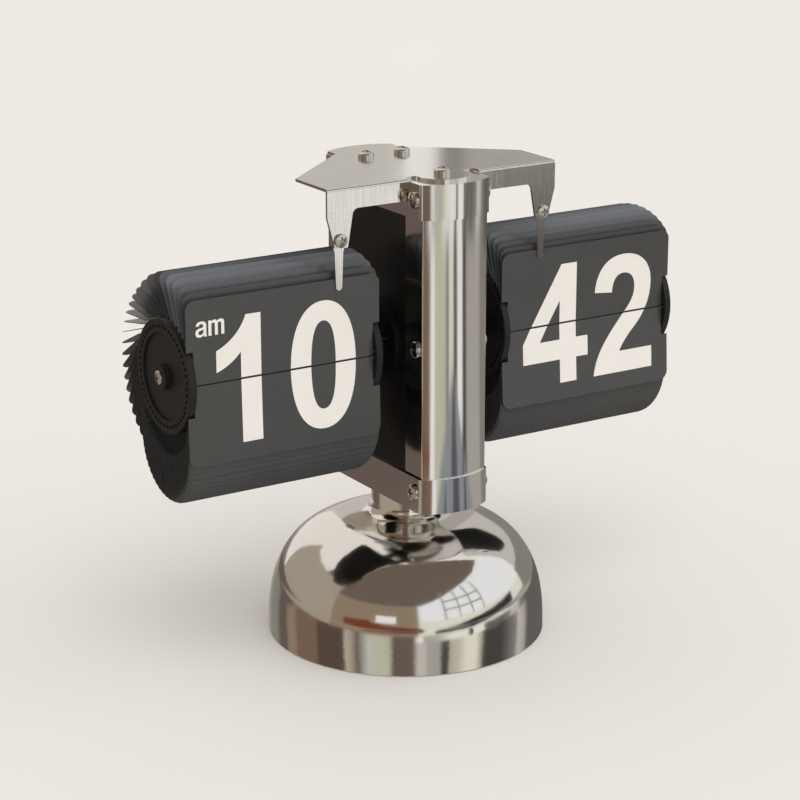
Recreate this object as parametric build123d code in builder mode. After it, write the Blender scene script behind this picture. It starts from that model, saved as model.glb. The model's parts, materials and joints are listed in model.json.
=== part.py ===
"""Flip clock: two drums of hinged number cards on a bow-fronted column with a domed foot.

Origin at the centre of the foot's underside. +X is the viewer's right, +Y the back, +Z up.
"""
import os
from math import acos, asin, cos, degrees, pi, radians, sin, sqrt, tan

from build123d import *

# General fits
running_fit = 0.05
seat_fit = 0.02
slip_fit = 0.05
overrun = 1.0

# Foot
foot_radius = 51.6
dome_height = 44.8
dome_side_power = 3.1
dome_crown_power = 2.6
rim_lift = 0.5
dome_wall = 2.0
flare_radius = 19.5
neck_radius = 12.7
neck_land = 6.5
neck_rise = 10.4
dome_point_shares = (0, 1 / 6, 1 / 3, 1 / 2, 2 / 3, 5 / 6, 1)
pad_side_gap = 0.8
pad_thickness = 2.0
weight_inset = 6.5
weight_thickness = 12.0
weight_post_radius = 9.0
weight_post_gap = 0.3
bolt_radius = 3.0
bolt_head_radius = 5.0
bolt_head_height = 4.0
nut_across_flats = 10.0
nut_height = 5.0
bolt_end_length = 1.0

# Column
column_half_width = 13.5
column_corner_depth = 32.0
column_bow_depth = 36.0
column_edge_radius = 0.8
cover_wall = 0.6
band_wall = 0.8
band_height = 12.9
band_floor = 2.0
cap_height = 12.5
cap_roof = 1.5
axis_rise = 58.8
head_rise = 61.0
housing_half_depth = 21.1
housing_wall = 1.5
housing_floor_gap = 1.5
housing_roof_gap = 2.5
boss_radius = 12.3
boss_height = 1.5
boss_rib_width = 2.0
boss_rib_height = 0.8

# Drum axis and drum sizes
axis_depth = -6.0
card_inner_end = 25.9
card_outer_end = 101.5
pivot_radius = 17.5
wheel_radius = 20.0
wheel_thickness = 2.4
wheel_recess_radius = 15.3
wheel_recess_depth = 0.8
hub_radius = 4.45
hub_height = 1.4
pivot_hole_radius = 0.65
pivot_hole_depth = 0.6
pivot_groove_width = 1.6
pivot_groove_depth = 1.6
arbor_radius = 1.5
arbor_end_gap = 0.1
barrel_radius = 4.5
bush_flange_radius = 4.0
bush_flange_thickness = 1.0
bush_radius = 2.6
hub_gap = 0.3

# Number cards
card_length = 28.0
card_thickness = 0.2
card_gap = 0.04
fan_gap = 0.12
card_corner_radius = 3.5
card_notch_height = 10.3
card_side_gap = 0.25
hinge_lip = 0.45
split_gap = 0.35
tab_width = 0.9
tab_end_gap = 0.1
hour_card_count = 48
minute_card_count = 60
hour_front_angle = 180.7
minute_front_angle = 181.0
fan_start_angle = 355.0
stand_start_angle = 468.0
stand_ease_share = 1.35

# Top bracket and spring fingers
sheet = 1.0
bracket_half_span = 47.4
bracket_fold_depth = 25.0
bracket_arm_back = -3.6
bracket_waist_half_width = 13.6
bracket_waist_depth = 26.2
bracket_tail_depth = 31.8
bracket_tail_bow_depth = 36.0
bracket_nose_radius = 9.7
bracket_nose_depth = 23.5
relief_gap = 0.4
relief_depth = 21.6
bend_radius = 1.0
flange_height = 7.6
arm_shoulder_drop = 10.0
arm_tip_drop = 21.0
arm_outer_tip_inset = 3.0
arm_inner_tip_inset = 8.1
arm_inner_root_inset = 10.4
arm_root_radius = 2.4
arm_tip_radius = 0.5
finger_thickness = 0.3
finger_inset = 5.1
finger_screw_drop = 18.3
finger_head_width = 5.0
finger_neck_drop = 1.5
finger_head_rise = 4.0
finger_root_width = 3.4
finger_root_drop = 22.5
finger_tip_width = 2.4
finger_tip_drop = 36.0

# Screws
screw_head_radius = 3.0
screw_head_height = 1.7
plate_head_height = 2.5
screw_shank_radius = 1.4
small_head_radius = 2.5
small_head_height = 1.3
small_shank_radius = 1.0
side_screw_length = 4.0
plate_screw_length = 4.0
finger_screw_length = 3.0
hub_screw_length = 4.0
cross_width_share = 0.22
cross_length_share = 1.15
cross_depth_share = 0.55
crown_share = 0.42
head_edge_share = 0.6
side_screw_depth = 28.2
cap_screw_drop = 5.8
cover_screw_rise = 1.5
band_screw_rise = 7.4
rear_plate_screw_place = 7.6
rear_plate_screw_depth = 14.9

# Movement
centre_plate_thickness = 2.0
centre_plate_front_gap = 0.2
centre_plate_back = 2.8
centre_plate_bottom_gap = 0.3
plate_boss_radius = 2.5
plate_boss_front = -16.5
plate_boss_back = 0.0
plate_boss_inset = 3.7
plate_boss_rise = 18.2
plate_boss_margin = 5.0
gear_spacing = 14.0
minute_pinion_teeth = 12
lay_gear_teeth = 48
lay_pinion_teeth = 10
hour_gear_teeth = 60
drive_spacing = 12.0
drive_wheel_teeth = 50
motor_pinion_teeth = 10
addendum_share = 0.6
dedendum_share = 1.0
backlash = 0.12
pressure_angle = 20.0
gear_width = 2.0
pinion_width = 3.0
train_plane = 6.0
drive_plane = 9.5
lay_arbor_radius = 0.9
lay_cup_radius = 2.5
lay_cup_height = 1.5
motor_radius = 8.0
motor_length = 6.0
motor_shaft_radius = 0.8
motor_shaft_depth = 4.0
motor_shaft_reach = 0.5

# Electronics and battery
board_thickness = 1.6
board_front = -17.0
board_back = 1.0
board_margin = 1.5
spacer_height = 2.4
spacer_radius = 2.0
spacer_inset = 3.0
chip_width = 7.0
chip_thickness = 1.2
chip_inset = 1.0
crystal_radius = 1.5
crystal_length = 8.0
crystal_inset = 1.0
battery_radius = 7.25
battery_length = 49.2
battery_nub_radius = 2.7
battery_nub_height = 1.3
battery_depth = 12.2
battery_lift = 4.0
battery_fit = 0.1
holder_half_width = 8.6
holder_wall = 1.5
contact_thickness = 0.5
contact_radius = 5.0
contact_stud_radius = 2.5
contact_travel = 2.5

# Heights and places that follow from the sizes above
pad_radius = foot_radius - dome_wall - pad_side_gap
weight_radius = pad_radius - weight_inset
column_bottom = rim_lift + dome_height + neck_rise
axis_height = column_bottom + axis_rise
column_top = axis_height + head_rise
band_inside = column_bottom + band_floor
cap_inside = column_top - cap_roof
cap_bottom = column_top - cap_height
bracket_top = column_top + sheet
nut_top = band_inside + nut_height
housing_bottom = nut_top + housing_floor_gap
housing_top = cap_inside - housing_roof_gap
cavity_half_depth = housing_half_depth - housing_wall
cavity_half_width = column_half_width - housing_wall
centre_plate_face = centre_plate_thickness / 2
lay_height = axis_height + gear_spacing
motor_height = axis_height - drive_spacing
plate_bottom = housing_bottom + housing_wall + centre_plate_bottom_gap
plate_boss_low = plate_bottom + plate_boss_inset
plate_boss_high = lay_height + plate_boss_rise
centre_plate_top = plate_boss_high + plate_boss_margin
hour_gear_pitch = gear_spacing * hour_gear_teeth / (hour_gear_teeth + lay_pinion_teeth)
hour_gear_reach = hour_gear_pitch + 2 * addendum_share * hour_gear_pitch / hour_gear_teeth
board_low = plate_boss_low + plate_boss_radius + board_margin
board_high = axis_height - hour_gear_reach - board_margin
battery_bottom = housing_bottom + housing_wall + holder_wall + contact_travel + battery_lift
wheel_inner_face_in = card_inner_end + wheel_thickness
wheel_inner_face_out = card_outer_end - wheel_thickness
card_width = card_outer_end - card_inner_end
card_middle = (card_outer_end + card_inner_end) / 2
hinge_width = card_width - 2 * (wheel_thickness + card_side_gap)
tab_span = card_width - 2 * (wheel_thickness - pivot_groove_depth + tab_end_gap)
arm_inner_face = bracket_fold_depth - sheet
band_face = column_half_width + slip_fit + band_wall
relief_outer = band_face + relief_gap
arm_outer_tip = bracket_half_span - arm_outer_tip_inset
arm_inner_tip = bracket_half_span - arm_inner_tip_inset
arm_inner_root = bracket_half_span - arm_inner_root_inset
finger_place = bracket_half_span - finger_inset
screw_hole_radius = screw_shank_radius + slip_fit
small_hole_radius = small_shank_radius + slip_fit
battery_top = battery_bottom + battery_length
cover_screw_height = axis_height + cover_screw_rise


def save(piece, node):
    piece.label = node
    export_step(piece, f"parts/{node}.step")


# A bow-fronted plan, grown or shrunk evenly from the column's own outline
def column_plan(grow, height):
    half_width = column_half_width + grow
    corner = column_corner_depth
    bow = column_bow_depth + grow
    with BuildSketch(Plane.XY.offset(height)) as plan:
        with BuildLine():
            Line((-half_width, corner), (-half_width, -corner))
            ThreePointArc((-half_width, -corner), (0, -bow), (half_width, -corner))
            Line((half_width, -corner), (half_width, corner))
            ThreePointArc((half_width, corner), (0, bow), (-half_width, corner))
        make_face()
        fillet(plan.vertices(), column_edge_radius + grow)
    return plan.sketch


# A pan-head screw with a cross recess: head above the seat plane, shank below it
def pan_screw(head_radius, head_height, shank_radius, length):
    cross_length = head_radius * cross_length_share
    cross_width = head_radius * cross_width_share
    crown = head_height * crown_share
    crown_radius = (head_radius**2 + crown**2) / (2 * crown)
    half_angle = asin(head_radius / crown_radius) / 2
    crown_middle = (crown_radius * sin(half_angle), head_height - crown_radius * (1 - cos(half_angle)))
    with BuildPart() as screw:
        with BuildSketch(Plane.XZ) as head:
            with BuildLine():
                Line((0, 0), (head_radius, 0))
                Line((head_radius, 0), (head_radius, head_height - crown))
                ThreePointArc((head_radius, head_height - crown), crown_middle, (0, head_height))
                Line((0, head_height), (0, 0))
            make_face()
            top_edge = head.vertices().group_by(Axis.X)[-1].sort_by(Axis.Y)[-1]
            fillet(top_edge, (head_height - crown) * head_edge_share)
        revolve(axis=Axis.Z)
        with BuildSketch():
            Circle(shank_radius)
        extrude(amount=-length)
        with BuildSketch(Plane.XY.offset(head_height)):
            Rectangle(cross_length, cross_width)
            Rectangle(cross_width, cross_length)
        extrude(amount=-head_height * cross_depth_share, mode=Mode.SUBTRACT)
    return screw.part


# Copies of one piece, one at each seat plane
def copies(piece, seats):
    with BuildPart() as group:
        with Locations(*[seat.location for seat in seats]):
            add(piece)
    return group.part


# A plane across the drum axis direction, looking outward on one side of the clock
def across(place, depth, height, side=1):
    return Plane(origin=(place, depth, height), x_dir=(0, 1, 0), z_dir=(side, 0, 0))


# A spur gear on an axis along X, centred on a middle plane, with one tooth at the mesh angle
def spur_gear(middle, height, teeth, spacing, mate_teeth, width, bore, mesh_angle, tooth_shift_share):
    module_size = 2 * spacing / (teeth + mate_teeth)
    pitch = module_size * teeth / 2
    tip = pitch + addendum_share * module_size
    root = pitch - dedendum_share * module_size
    base = pitch * cos(radians(pressure_angle))
    half_tooth = pi / teeth / 2 - backlash / pitch / 2

    def involute(radius):
        return tan(radius) - radius

    def flank(radius):
        lift = involute(radians(pressure_angle))
        if radius > base:
            lift -= involute(asin(sqrt(1 - (base / radius) ** 2)))
        return half_tooth + lift

    def point(radius, angle):
        return (radius * cos(angle), radius * sin(angle))

    start = max(root, base)
    middle_radius = (start + tip) / 2
    step = 2 * pi / teeth
    with BuildPart() as gear:
        with BuildSketch(across(middle - width / 2, axis_depth, height)):
            with BuildLine():
                for tooth in range(teeth):
                    turn = radians(mesh_angle) + step * (tooth + tooth_shift_share)
                    low = point(root, turn - flank(start))
                    high = point(root, turn + flank(start))
                    rise = point(start, turn - flank(start))
                    fall = point(start, turn + flank(start))
                    if start > root:
                        Line(low, rise)
                        Line(fall, high)
                    ThreePointArc(
                        rise,
                        point(middle_radius, turn - flank(middle_radius)),
                        point(tip, turn - flank(tip)),
                    )
                    Line(point(tip, turn - flank(tip)), point(tip, turn + flank(tip)))
                    ThreePointArc(
                        point(tip, turn + flank(tip)),
                        point(middle_radius, turn + flank(middle_radius)),
                        fall,
                    )
                    Line(high, point(root, turn + step - flank(start)))
            make_face()
            Circle(bore, mode=Mode.SUBTRACT)
        extrude(amount=width)
    return gear.part


# Direction in which a card lies, in degrees from straight back, for its pivot's angle on the drum
def card_direction(angle, pitch, last_angle):
    chord = 2 * pivot_radius * sin(radians(pitch / 2))
    if angle < fan_start_angle:
        lift = degrees(asin((card_thickness + card_gap) / chord))
        return min(270, angle + pitch / 2 + 90 - lift)
    lift = degrees(asin((card_thickness + fan_gap) / chord))
    if angle < stand_start_angle:
        return max(270, angle - pitch / 2 - 90 + lift)
    first = stand_start_angle - pitch / 2 - 90 + lift
    left = (last_angle - angle) / (last_angle - stand_start_angle)
    return 450 - (450 - first) * left**stand_ease_share


# Seat planes of the cards on one drum: local X along the hinge, local Y along the card
def card_seats(side, cards, front_angle):
    pitch = 360 / cards
    last_angle = front_angle + 360 - pitch
    seats = []
    for card in range(cards):
        angle = front_angle + pitch * card
        direction = radians(card_direction(angle, pitch, last_angle))
        pivot = (
            side * card_middle,
            axis_depth + pivot_radius * cos(radians(angle)),
            axis_height + pivot_radius * sin(radians(angle)),
        )
        normal = (0, -sin(direction), cos(direction))
        seats.append((angle, Plane(origin=pivot, x_dir=(1, 0, 0), z_dir=normal)))
    return seats


# A drum wheel: grooved towards the cards, recessed and drilled on the face away from them
def drum_wheel(face_place, side, cards, front_angle, bore, hub_length):
    inner_face = across(face_place, axis_depth, axis_height, side)
    outer_face = inner_face.offset(wheel_thickness)
    with BuildPart() as wheel:
        with BuildSketch(inner_face):
            Circle(wheel_radius)
        extrude(amount=wheel_thickness)
        with BuildSketch(inner_face):
            Circle(pivot_radius + pivot_groove_width / 2)
            Circle(pivot_radius - pivot_groove_width / 2, mode=Mode.SUBTRACT)
        extrude(amount=pivot_groove_depth, mode=Mode.SUBTRACT)
        with BuildSketch(outer_face):
            Circle(wheel_recess_radius)
        extrude(amount=-wheel_recess_depth, mode=Mode.SUBTRACT)
        with BuildSketch(outer_face):
            with PolarLocations(pivot_radius, cards, start_angle=side * front_angle):
                Circle(pivot_hole_radius)
        extrude(amount=-pivot_hole_depth, mode=Mode.SUBTRACT)
        with BuildSketch(inner_face):
            Circle(hub_radius)
        extrude(amount=wheel_thickness + hub_length)
        with BuildSketch(inner_face.offset(-overrun)):
            Circle(bore)
        extrude(amount=wheel_thickness + hub_length + 2 * overrun, mode=Mode.SUBTRACT)
    return wheel.part


os.makedirs("parts", exist_ok=True)


# The dome is a full, square-shouldered round: its height over a radius
def dome_rise(radius, dome_radius, height):
    return rim_lift + height * (1 - (radius / dome_radius) ** dome_side_power) ** (1 / dome_crown_power)


# Its profile from the rim up to a smaller radius, with the end point and the end direction
def dome_curve(dome_radius, height, end_radius):
    end_angle = acos((end_radius / dome_radius) ** (dome_side_power / 2))
    radii = [
        dome_radius * cos(end_angle * share) ** (2 / dome_side_power)
        for share in dome_point_shares
    ]
    points = [(radius, dome_rise(radius, dome_radius, height)) for radius in radii]
    side_slope = cos(end_angle) ** (2 / dome_side_power - 1) * sin(end_angle) / dome_side_power
    crown_slope = sin(end_angle) ** (2 / dome_crown_power - 1) * cos(end_angle) / dome_crown_power
    direction = (-dome_radius * side_slope, height * crown_slope)
    Spline(*points, tangents=((0, 1), direction))
    return points[-1], direction


# Foot: polished dome with a flared neck, bored for the bolt
inner_radius = foot_radius - dome_wall
inner_height = dome_height - dome_wall
bolt_bore = bolt_radius + slip_fit
neck_bottom = column_bottom - neck_land
with BuildPart() as base_dome:
    with BuildSketch(Plane.XZ):
        with BuildLine():
            flare_start, flare_direction = dome_curve(foot_radius, dome_height, flare_radius)
            Spline(flare_start, (neck_radius, neck_bottom), tangents=(flare_direction, (0, 1)))
            Line((neck_radius, neck_bottom), (neck_radius, column_bottom))
            Line((neck_radius, column_bottom), (bolt_bore, column_bottom))
            bore_end = dome_curve(inner_radius, inner_height, bolt_bore)[0]
            Line((bolt_bore, column_bottom), bore_end)
            Line((inner_radius, rim_lift), (foot_radius, rim_lift))
        make_face()
    revolve(axis=Axis.Z)
save(base_dome.part, "base_dome")

# Pad that the clock stands on
with BuildPart() as base_pad:
    with BuildSketch():
        Circle(pad_radius)
    extrude(amount=pad_thickness)
save(base_pad.part, "base_pad")

# Iron weight with a post up to the neck and a pocket for the bolt head
post_top = dome_rise(weight_post_radius, inner_radius, inner_height) - weight_post_gap
bolt_seat = pad_thickness + bolt_head_height
with BuildPart() as base_weight:
    with BuildSketch(Plane.XY.offset(pad_thickness)):
        Circle(weight_radius)
    extrude(amount=weight_thickness)
    with BuildSketch(Plane.XY.offset(pad_thickness)):
        Circle(weight_post_radius)
    extrude(amount=post_top - pad_thickness)
    with BuildSketch(Plane.XY.offset(pad_thickness)):
        Circle(bolt_head_radius + slip_fit)
    extrude(amount=bolt_head_height, mode=Mode.SUBTRACT)
    with BuildSketch(Plane.XY.offset(pad_thickness)):
        Circle(bolt_bore)
    extrude(amount=post_top, mode=Mode.SUBTRACT)
save(base_weight.part, "base_weight")

# Bolt that ties the weight, the dome and the lower band together, and its nut
with BuildPart() as base_bolt:
    with BuildSketch(Plane.XY.offset(pad_thickness)):
        Circle(bolt_head_radius)
    extrude(amount=bolt_head_height)
    with BuildSketch(Plane.XY.offset(bolt_seat)):
        Circle(bolt_radius)
    extrude(amount=nut_top + bolt_end_length - bolt_seat)
save(base_bolt.part, "base_bolt")

with BuildPart() as base_nut:
    with BuildSketch(Plane.XY.offset(band_inside)):
        RegularPolygon(nut_across_flats / 2, 6, major_radius=False)
        Circle(bolt_radius + slip_fit, mode=Mode.SUBTRACT)
    extrude(amount=nut_height)
save(base_nut.part, "base_nut")

# Seat planes of the screws on the column's sides
band_screw_height = column_bottom + band_screw_rise
cap_screw_height = column_top - cap_screw_drop


def side_seats(face, height):
    return [
        across(side * face, depth, height, side)
        for side in (-1, 1)
        for depth in (-side_screw_depth, side_screw_depth)
    ]


# Lower band: a cup on the neck, with the bolt through its floor
band_outside_plan = column_plan(slip_fit + band_wall, column_bottom)
band_inside_plan = column_plan(slip_fit, band_inside)
with BuildPart() as lower_band:
    extrude(band_outside_plan, amount=band_height)
    extrude(band_inside_plan, amount=band_height, mode=Mode.SUBTRACT)
    with Locations(Plane.XY.offset(column_bottom).location):
        Hole(bolt_bore)
    for seat in side_seats(band_face, band_screw_height):
        with BuildSketch(seat):
            Circle(screw_hole_radius)
        extrude(amount=-band_wall - overrun, mode=Mode.SUBTRACT)
save(lower_band.part, "lower_band")

# Top cap: the same cup turned over, with the bracket's screws through its roof
plate_screw_places = [
    (0, -bracket_nose_depth),
    (-rear_plate_screw_place, rear_plate_screw_depth),
    (rear_plate_screw_place, rear_plate_screw_depth),
]
cap_outside_plan = column_plan(slip_fit + band_wall, cap_bottom)
cap_inside_plan = column_plan(slip_fit, cap_bottom)
with BuildPart() as top_cap:
    extrude(cap_outside_plan, amount=cap_height)
    extrude(cap_inside_plan, amount=cap_height - cap_roof, mode=Mode.SUBTRACT)
    with BuildSketch(Plane.XY.offset(column_top)):
        with Locations(*plate_screw_places):
            Circle(screw_hole_radius)
    extrude(amount=-cap_roof, mode=Mode.SUBTRACT)
    for seat in side_seats(band_face, cap_screw_height):
        with BuildSketch(seat):
            Circle(screw_hole_radius)
        extrude(amount=-band_wall - overrun, mode=Mode.SUBTRACT)
save(top_cap.part, "top_cap")

# Covers: bow-fronted shells in front of and behind the housing, tucked into both cups
cover_height = cap_inside - band_inside
cover_outside_plan = column_plan(0, band_inside)
cover_inside_plan = column_plan(-cover_wall, band_inside)
cover_screw_heights = (band_screw_height, cover_screw_height, cap_screw_height)
with BuildPart() as front_cover:
    extrude(cover_outside_plan, amount=cover_height)
    extrude(cover_inside_plan, amount=cover_height, mode=Mode.SUBTRACT)
    with BuildSketch(Plane.XY.offset(band_inside)):
        with Locations((0, column_bow_depth - housing_half_depth)):
            Rectangle(2 * column_half_width + overrun, 2 * column_bow_depth)
    extrude(amount=cover_height, mode=Mode.SUBTRACT)
    for height in cover_screw_heights:
        for seat in side_seats(column_half_width, height):
            with BuildSketch(seat):
                Circle(screw_hole_radius)
            extrude(amount=-cover_wall - overrun, mode=Mode.SUBTRACT)
save(front_cover.part, "front_cover")

with BuildPart() as rear_cover:
    mirror(front_cover.part, about=Plane.XZ)
save(rear_cover.part, "rear_cover")

# Screws of the column
cap_screw = pan_screw(screw_head_radius, screw_head_height, screw_shank_radius, side_screw_length)
save(copies(cap_screw, side_seats(band_face, cap_screw_height)), "cap_screws")
save(copies(cap_screw, side_seats(column_half_width, cover_screw_height)), "cover_screws")
save(copies(cap_screw, side_seats(band_face, band_screw_height)), "band_screws")

# Housing: two black half shells that meet on the middle plane, with bearing bosses
housing_middle = (housing_bottom + housing_top) / 2
housing_height = housing_top - housing_bottom
boss_face = column_half_width + boss_height
bush_bore = bush_radius + seat_fit
lay_cup_bore = lay_arbor_radius + running_fit
with BuildPart() as housing_right:
    with BuildSketch(across(0, 0, housing_middle)):
        Rectangle(2 * (housing_half_depth - slip_fit), housing_height)
    extrude(amount=column_half_width)
    with BuildSketch(across(0, 0, housing_middle)):
        Rectangle(2 * cavity_half_depth, housing_height - 2 * housing_wall)
    extrude(amount=cavity_half_width, mode=Mode.SUBTRACT)
    with BuildSketch(across(column_half_width, axis_depth, axis_height)):
        Circle(boss_radius)
    extrude(amount=boss_height)
    with BuildSketch(across(boss_face, axis_depth, axis_height)):
        Circle(boss_radius)
        Circle(boss_radius - boss_rib_width, mode=Mode.SUBTRACT)
        with Locations((-(boss_radius + bush_flange_radius) / 2, 0)):
            Rectangle(boss_radius - bush_flange_radius - boss_rib_width, boss_rib_width)
    extrude(amount=boss_rib_height)
    with BuildSketch(across(cavity_half_width - overrun, axis_depth, axis_height)):
        Circle(bush_bore)
    extrude(amount=housing_wall + boss_height + 2 * overrun, mode=Mode.SUBTRACT)
    with BuildSketch(across(cavity_half_width, axis_depth, lay_height)):
        Circle(lay_cup_radius)
        Circle(lay_cup_bore, mode=Mode.SUBTRACT)
    extrude(amount=-lay_cup_height)
save(housing_right.part, "housing_right")

plate_boss_places = [
    (depth, height)
    for depth in (plate_boss_front, plate_boss_back)
    for height in (plate_boss_low, plate_boss_high)
]
with BuildPart() as housing_left:
    mirror(housing_right.part, about=Plane.YZ)
    with BuildSketch(across(-cavity_half_width, 0, 0)):
        with Locations(*plate_boss_places):
            Circle(plate_boss_radius)
            Circle(small_hole_radius, mode=Mode.SUBTRACT)
    extrude(amount=cavity_half_width - centre_plate_face)
save(housing_left.part, "housing_left")

# Centre plate of the movement, bored for the arbors
plate_front = -cavity_half_depth + centre_plate_front_gap
plate_middle = ((plate_front + centre_plate_back) / 2, (plate_bottom + centre_plate_top) / 2)
with BuildPart() as centre_plate:
    with BuildSketch(across(-centre_plate_face, 0, 0)):
        with Locations(plate_middle):
            Rectangle(centre_plate_back - plate_front, centre_plate_top - plate_bottom)
        with Locations((axis_depth, axis_height)):
            Circle(arbor_radius + running_fit, mode=Mode.SUBTRACT)
        with Locations((axis_depth, lay_height)):
            Circle(lay_cup_bore, mode=Mode.SUBTRACT)
        with Locations(*plate_boss_places):
            Circle(small_hole_radius, mode=Mode.SUBTRACT)
    extrude(amount=centre_plate_thickness)
save(centre_plate.part, "centre_plate")

movement_screw = pan_screw(small_head_radius, small_head_height, small_shank_radius, finger_screw_length)
movement_seats = [across(centre_plate_face, depth, height) for depth, height in plate_boss_places]
save(copies(movement_screw, movement_seats), "movement_screws")

# Bearing bushes in the housing's walls
for side, node in ((-1, "hour_bush"), (1, "minute_bush")):
    with BuildPart() as bush:
        with BuildSketch(across(side * cavity_half_width, axis_depth, axis_height, side)):
            Circle(bush_radius)
        extrude(amount=housing_wall + boss_height)
        with BuildSketch(across(side * boss_face, axis_depth, axis_height, side)):
            Circle(bush_flange_radius)
        extrude(amount=bush_flange_thickness)
        with BuildSketch(across(side * (cavity_half_width - overrun), axis_depth, axis_height, side)):
            Circle(arbor_radius + running_fit)
        extrude(amount=boss_face, mode=Mode.SUBTRACT)
    save(bush.part, node)

# Drums: wheels, barrel, arbor and hub screw on each side
hub_screw = pan_screw(small_head_radius, small_head_height, small_shank_radius, hub_screw_length)
hub_face = card_outer_end + hub_height
inner_hub_length = card_inner_end - boss_face - bush_flange_thickness - hub_gap
arbor_end = hub_face - hub_screw_length - overrun
drums = (
    (-1, "hour", hour_card_count, hour_front_angle),
    (1, "minute", minute_card_count, minute_front_angle),
)
for side, drum, cards, front_angle in drums:
    outer_wheel = drum_wheel(
        side * wheel_inner_face_out, side, cards, front_angle, small_hole_radius, hub_height
    )
    save(outer_wheel, f"{drum}_outer_wheel")

    inner_wheel = drum_wheel(
        side * wheel_inner_face_in, -side, cards, front_angle, arbor_radius + seat_fit, inner_hub_length
    )
    save(inner_wheel, f"{drum}_inner_wheel")

    with BuildPart() as barrel:
        with BuildSketch(across(side * wheel_inner_face_in, axis_depth, axis_height, side)):
            Circle(barrel_radius)
            Circle(arbor_radius + seat_fit, mode=Mode.SUBTRACT)
        extrude(amount=wheel_inner_face_out - wheel_inner_face_in)
    save(barrel.part, f"{drum}_barrel")

    with BuildPart() as arbor:
        with BuildSketch(across(side * arbor_end_gap, axis_depth, axis_height, side)):
            Circle(arbor_radius)
        extrude(amount=arbor_end - arbor_end_gap)
    save(arbor.part, f"{drum}_arbor")

    save(copies(hub_screw, [across(side * hub_face, axis_depth, axis_height, side)]), f"{drum}_hub_screw")

# Motion work: twenty-four turns of the minute arbor to one of the hour arbor
minute_pinion = spur_gear(
    train_plane, axis_height, minute_pinion_teeth, gear_spacing, lay_gear_teeth,
    pinion_width, arbor_radius + seat_fit, 90, 0,
)
save(minute_pinion, "minute_pinion")

lay_gear = spur_gear(
    train_plane, lay_height, lay_gear_teeth, gear_spacing, minute_pinion_teeth,
    gear_width, lay_arbor_radius + seat_fit, 270, 1 / 2,
)
save(lay_gear, "lay_gear")

lay_pinion = spur_gear(
    -train_plane, lay_height, lay_pinion_teeth, gear_spacing, hour_gear_teeth,
    pinion_width, lay_arbor_radius + seat_fit, 270, 0,
)
save(lay_pinion, "lay_pinion")

hour_gear = spur_gear(
    -train_plane, axis_height, hour_gear_teeth, gear_spacing, lay_pinion_teeth,
    gear_width, arbor_radius + seat_fit, 90, 1 / 2,
)
save(hour_gear, "hour_gear")

with BuildPart() as lay_arbor:
    with BuildSketch(across(arbor_end_gap - cavity_half_width, axis_depth, lay_height)):
        Circle(lay_arbor_radius)
    extrude(amount=2 * (cavity_half_width - arbor_end_gap))
save(lay_arbor.part, "lay_arbor")

# Drive: the motor's pinion turns the wheel on the minute arbor
drive_wheel = spur_gear(
    drive_plane, axis_height, drive_wheel_teeth, drive_spacing, motor_pinion_teeth,
    gear_width, arbor_radius + seat_fit, 270, 0,
)
save(drive_wheel, "drive_wheel")

motor_face = centre_plate_face + motor_length
with BuildPart() as motor_can:
    with BuildSketch(across(centre_plate_face, axis_depth, motor_height)):
        Circle(motor_radius)
    extrude(amount=motor_length)
    with BuildSketch(across(motor_face, axis_depth, motor_height)):
        Circle(motor_shaft_radius + running_fit)
    extrude(amount=-motor_shaft_depth - arbor_end_gap, mode=Mode.SUBTRACT)
save(motor_can.part, "motor_can")

motor_pinion_gear = spur_gear(
    drive_plane, motor_height, motor_pinion_teeth, drive_spacing, drive_wheel_teeth,
    pinion_width, motor_shaft_radius / 2, 90, 1 / 2,
)
motor_shaft_start = motor_face - motor_shaft_depth
with BuildPart() as motor_pinion:
    add(motor_pinion_gear)
    with BuildSketch(across(motor_shaft_start, axis_depth, motor_height)):
        Circle(motor_shaft_radius)
    extrude(amount=drive_plane + pinion_width / 2 + motor_shaft_reach - motor_shaft_start)
save(motor_pinion.part, "motor_pinion")

# Circuit board on spacers, with its chip and crystal
board_face = centre_plate_face + spacer_height
board_middle = ((board_front + board_back) / 2, (board_low + board_high) / 2)
board_size = (board_back - board_front, board_high - board_low)
spacer_spread = board_size[0] - 2 * spacer_inset
with BuildPart() as circuit_board:
    with BuildSketch(across(-board_face, *board_middle, -1)):
        Rectangle(*board_size)
    extrude(amount=board_thickness)
save(circuit_board.part, "circuit_board")

with BuildPart() as board_spacers:
    with BuildSketch(across(-centre_plate_face, *board_middle, -1)):
        with GridLocations(spacer_spread, 0, 2, 1):
            Circle(spacer_radius)
    extrude(amount=spacer_height)
save(board_spacers.part, "board_spacers")

board_outside = board_face + board_thickness
chip_depth = board_front + chip_inset + chip_width / 2
with BuildPart() as control_chip:
    with BuildSketch(across(-board_outside, chip_depth, board_middle[1], -1)):
        Rectangle(chip_width, chip_width)
    extrude(amount=chip_thickness)
save(control_chip.part, "control_chip")

crystal_front = board_back - crystal_inset - crystal_length
with BuildPart() as quartz_crystal:
    with BuildSketch(Plane(
        origin=(-board_outside - crystal_radius, crystal_front, board_middle[1]),
        z_dir=(0, 1, 0),
    )):
        Circle(crystal_radius)
    extrude(amount=crystal_length)
save(quartz_crystal.part, "quartz_crystal")

# Battery, its holder on the housing's rear wall, and the two contacts
holder_bottom = battery_bottom - contact_travel - holder_wall
contact_top = battery_top + battery_nub_height + contact_thickness
holder_top = contact_top + holder_wall
with BuildPart() as battery:
    with BuildSketch(Plane.XY.offset(battery_bottom)):
        with Locations((0, battery_depth)):
            Circle(battery_radius)
    extrude(amount=battery_length)
    with BuildSketch(Plane.XY.offset(battery_top)):
        with Locations((0, battery_depth)):
            Circle(battery_nub_radius)
    extrude(amount=battery_nub_height)
save(battery.part, "battery")

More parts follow.
